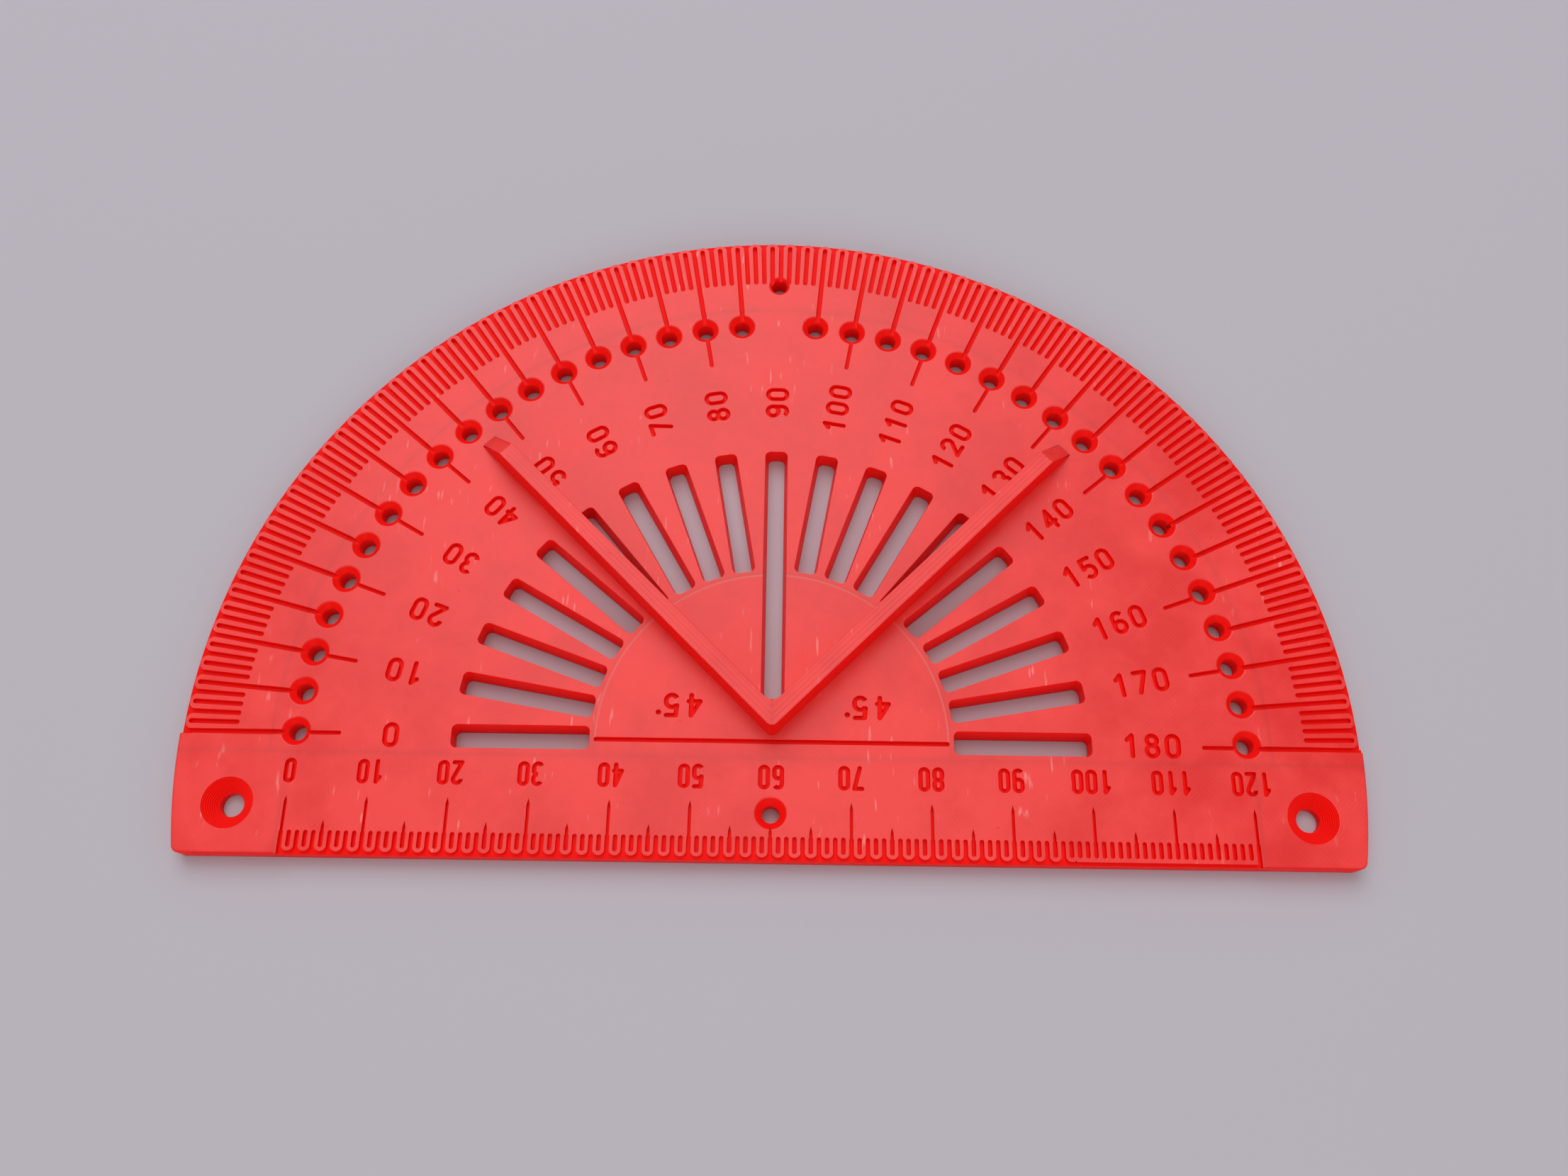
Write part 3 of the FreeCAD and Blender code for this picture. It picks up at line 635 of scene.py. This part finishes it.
    def build(self, frame: dict, material: bpy.types.Material) -> bpy.types.Object:
        """Make the finished piece and let it stand for its node.

        Args:
            frame: The loaded frame.
            material: Finish of the print.

        Returns:
            The finished piece.
        """
        piece = self.copy(frame)
        self.shape(piece)
        self.round_edges(piece)
        piece.data.materials.clear()
        piece.data.materials.append(material)
        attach(piece, BODY)
        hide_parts(self.node)
        log.info("%s: %d faces", piece.name, len(piece.data.polygons))
        return piece


@dataclass
class CornerPad(PrintedNode):
    """A corner pad whose countersink is a stair of printed layers."""

    side: Side = Side.RIGHT
    hole_x_mm: float = 67.2
    hole_y_mm: float = -8.85
    mouth_mm: float = 3.2
    bore_mm: float = 1.5
    layer_mm: float = 0.2
    ring_slack_mm: float = 0.05
    cone_normal: tuple[float, float] = (0.3, 0.9)

    @property
    def axis(self) -> Vector:
        """Point on the axis of the screw hole, in metres."""
        return Vector((self.side.value * self.hole_x_mm * MM, self.hole_y_mm * MM, 0.0))

    def reach(self, point: Vector) -> float:
        """Distance of a point from the axis of the screw hole.

        Args:
            point: Position in metres.

        Returns:
            The distance in mm.
        """
        return math.hypot(point.x - self.axis.x, point.y - self.axis.y) / MM

    def shape(self, piece: bpy.types.Object) -> None:
        """Replace the smooth countersink by one tread and one riser per layer.

        Args:
            piece: The merged mesh.
        """
        pick(piece)
        bpy.ops.object.mode_set(mode="EDIT")
        bpy.ops.mesh.select_mode(type="FACE")
        bpy.ops.mesh.select_all(action="DESELECT")
        mesh = bmesh.from_edit_mesh(piece.data)
        steepest, flattest = self.cone_normal
        for face in mesh.faces:
            in_mouth = self.reach(face.calc_center_median()) < self.mouth_mm
            face.select = in_mouth and steepest < face.normal.z < flattest
        bmesh.update_edit_mesh(piece.data)
        bpy.ops.mesh.delete(type="FACE")
        bpy.ops.mesh.select_mode(type="EDGE")
        self._select_ring(piece, self.mouth_mm, self.top_mm)
        depth = self.mouth_mm - self.bore_mm
        done = 0.0
        radius = self.mouth_mm
        while depth - done > self.layer_mm:
            down = {"value": (0.0, 0.0, -self.layer_mm * MM)}
            bpy.ops.mesh.extrude_edges_move(TRANSFORM_OT_translate=down)
            bpy.ops.mesh.extrude_edges_move()
            inner = (radius - self.layer_mm) / radius
            bpy.ops.transform.resize(value=(inner, inner, 1.0), center_override=self.axis)
            radius -= self.layer_mm
            done += self.layer_mm
        last = {"value": (0.0, 0.0, (done - depth) * MM)}
        bpy.ops.mesh.extrude_edges_move(TRANSFORM_OT_translate=last)
        self._select_ring(piece, self.bore_mm, self.top_mm - depth, True)
        bpy.ops.mesh.bridge_edge_loops()
        bpy.ops.mesh.select_all(action="SELECT")
        bpy.ops.mesh.normals_make_consistent(inside=False)
        bpy.ops.object.mode_set(mode="OBJECT")

    def _select_ring(self, piece: bpy.types.Object, radius: float, height: float, add: bool = False) -> None:
        """Select the open ring of edges at a radius and height in mm round the screw hole.

        Args:
            piece: The pad, in edit mode.
            radius: Radius of the ring.
            height: Height of the ring.
            add: Whether to keep what is selected already.
        """
        if not add:
            bpy.ops.mesh.select_all(action="DESELECT")
        mesh = bmesh.from_edit_mesh(piece.data)
        for edge in mesh.edges:
            ends = [vert.co for vert in edge.verts]
            on_ring = all(abs(self.reach(end) - radius) < self.ring_slack_mm for end in ends)
            level = all(abs(end.z / MM - height) < self.plane_slack_mm for end in ends)
            if on_ring and level and edge.is_boundary:
                edge.select = True
        bmesh.update_edit_mesh(piece.data)

    def edge_kind(self, edge: bmesh.types.BMEdge) -> EdgeKind | None:
        """Round the outer edge and, less, the nose of each tread.

        Args:
            edge: Edge of the shaped mesh.

        Returns:
            The kind, or None where the edge stays sharp.
        """
        kind = super().edge_kind(edge)
        if kind or len(edge.link_faces) != 2:
            return kind
        start, end = (vert.co for vert in edge.verts)
        inside = self.reach((start + end) / 2) < self.mouth_mm
        level = abs(start.z - end.z) < 0.001 * MM
        if inside and level and edge.is_convex and edge.calc_face_angle(0.0) > self.sharp:
            return EdgeKind.STEP
        return None


@dataclass
class FenceLeg(PrintedNode):
    """One leg of the V fence."""

    edge_mm: float = 0.2
    top_mm: float = 8.0
    base_mm: float = 3.0
    side: Side = Side.RIGHT
    apex_mm: float = 0.3
    thickness_mm: float = 2.25
    beads: int = 4
    bead_dip_mm: float = 0.025
    valley_share: float = 0.25
    valley_slack: float = 0.02
    top_slack_mm: float = 0.001

    def shape(self, piece: bpy.types.Object) -> None:
        """Press a shallow valley between every two of the beads that make up the top.

        Args:
            piece: The merged mesh.
        """
        out = Vector((self.side.value, -1.0, 0.0)).normalized()
        apex = Vector((0.0, self.apex_mm * MM, 0.0))
        pick(piece)
        bpy.ops.object.mode_set(mode="EDIT")
        bpy.ops.mesh.select_mode(type="FACE")
        pitch = self.thickness_mm / self.beads
        for number in range(1, self.beads):
            for shift in (-self.valley_share, 0.0, self.valley_share):
                reach = (number + shift) * pitch * MM
                self._select_top(piece)
                bpy.ops.mesh.bisect(plane_co=apex - out * reach, plane_no=out)
        bpy.ops.object.mode_set(mode="OBJECT")
        for vert in piece.data.vertices:
            depth = (apex - vert.co).dot(out) / MM / pitch
            number = round(depth)
            in_valley = 0 < number < self.beads and abs(depth - number) < self.valley_slack
            if in_valley and self._on_top(vert.co):
                vert.co.z -= self.bead_dip_mm * MM

    def _on_top(self, point: Vector) -> bool:
        """Whether a point lies level with the top of the leg.

        Args:
            point: Position in metres.

        Returns:
            True at the height of the top.
        """
        return abs(point.z / MM - self.top_mm) < self.top_slack_mm

    def _select_top(self, piece: bpy.types.Object) -> None:
        """Select the faces that lie level with the top.

        Args:
            piece: The leg, in edit mode.
        """
        bpy.ops.mesh.select_all(action="DESELECT")
        mesh = bmesh.from_edit_mesh(piece.data)
        for face in mesh.faces:
            face.select = all(self._on_top(vert.co) for vert in face.verts)
        bmesh.update_edit_mesh(piece.data)

    def edge_kind(self, edge: bmesh.types.BMEdge) -> EdgeKind | None:
        """Round the top edges and the ramp, and leave the middle joint and the foot sharp.

        Args:
            edge: Edge of the shaped mesh.

        Returns:
            The kind, or None where the edge stays sharp.
        """
        if len(edge.link_faces) != 2 or edge.calc_face_angle(0.0) < self.sharp:
            return None
        ends = [vert.co / MM for vert in edge.verts]
        at_middle = all(abs(end.x) < self.plane_slack_mm for end in ends)
        at_foot = all(end.z < self.base_mm + self.plane_slack_mm for end in ends)
        return None if at_middle or at_foot else EdgeKind.TOP


@dataclass(frozen=True)
class SoftBox:
    """A square area light; place, aim and size are in metres."""

    name: str
    place: Point
    aim: Point
    size: float
    watts: float
    tint: str

    def build(self) -> None:
        """Add the light, facing its aim."""
        bpy.ops.object.light_add(type="AREA", location=self.place)
        light = bpy.context.object
        light.name = self.name
        light.rotation_euler = (Vector(self.aim) - Vector(self.place)).to_track_quat("-Z", "Y").to_euler()
        light.data.size = self.size
        light.data.energy = self.watts
        light.data.color = linear(self.tint)[:3]


@dataclass(frozen=True)
class Studio:
    """Pale floor, soft light and the photograph's viewpoint."""

    image_px: tuple[int, int] = (2212, 1659)
    focal_px: float = 1809.4
    sensor_mm: float = 36.0
    eye_mm: Point = (0.945, -38.434, 161.194)
    look_mm: Point = (1.27, 20.51, 3.0)
    roll_deg: float = 1.161
    floor_hex: str = "#B9B4BC"
    floor_m: float = 3.0
    floor_drop_mm: float = 0.05
    sky_hex: str = "#E6E8EE"
    sky_strength: float = 0.55
    lamps: tuple[SoftBox, ...] = (
        SoftBox("window_behind", (-0.15, 0.75, 1.0), (0.0, 0.03, 0.0), 0.9, 6.5, "#FFFFFF"),
        SoftBox("ceiling", (0.0, 0.1, 1.3), (0.0, 0.0, 0.0), 0.8, 2.5, "#FFF8F0"),
        SoftBox("front_fill", (0.05, -0.8, 0.4), (0.0, 0.02, 0.0), 0.6, 2.2, "#FFF4EE"),
    )

    def camera(self) -> None:
        """Set the camera at the photograph's place."""
        eye = Vector(self.eye_mm) * MM
        aim = Vector(self.look_mm) * MM - eye
        turn = aim.to_track_quat("-Z", "Y").to_matrix() @ Matrix.Rotation(math.radians(self.roll_deg), 3, "Z")
        bpy.ops.object.camera_add(location=eye, rotation=turn.to_euler())
        camera = bpy.context.object
        camera.name = "photo_view"
        camera.data.sensor_width = self.sensor_mm
        camera.data.lens = self.sensor_mm * self.focal_px / self.image_px[0]
        camera.data.clip_start = 1 * MM
        camera.data.clip_end = 10.0
        bpy.context.scene.camera = camera

    def floor(self) -> None:
        """Lay a plain pale floor just under the part."""
        bpy.ops.object.select_all(action="DESELECT")
        bpy.ops.mesh.primitive_plane_add(size=self.floor_m, location=(0.0, 0.0, -self.floor_drop_mm * MM))
        floor = bpy.context.object
        floor.name = "floor"
        material = bpy.data.materials.new("matt_floor_paint")
        material.use_nodes = True
        shader = material.node_tree.nodes["Principled BSDF"]
        shader.inputs["Base Color"].default_value = linear(self.floor_hex)
        shader.inputs["Roughness"].default_value = 0.85
        floor.data.materials.append(material)

    def light(self) -> None:
        """Soft window light from behind and above, low fill in front and a dim pale surround."""
        for lamp in self.lamps:
            lamp.build()
        world = bpy.data.worlds.new("pale_room")
        world.use_nodes = True
        sky = world.node_tree.nodes["Background"]
        sky.inputs["Color"].default_value = linear(self.sky_hex)
        sky.inputs["Strength"].default_value = self.sky_strength
        bpy.context.scene.world = world
        bpy.context.scene.view_settings.view_transform = "Standard"

    def build(self) -> None:
        """Make the camera, the floor and the lights."""
        self.camera()
        self.floor()
        self.light()
        log.info("studio ready")


def main() -> None:
    """Load the frame, dress every piece and set the studio."""
    logging.basicConfig(level=logging.INFO, format="%(message)s")
    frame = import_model()
    pla = PrintedPLA().build()
    Studio().build()
    for name in ("protractor_plate", "degree_rim", "hub_plate", "ruler_bar"):
        PrintedNode(name).build(frame, pla)
    for side in Side:
        word = side.name.lower()
        CornerPad(word + "_corner_pad", side=side).build(frame, pla)
        FenceLeg(word + "_fence", side=side).build(frame, pla)


if __name__ == "__main__":
    main()
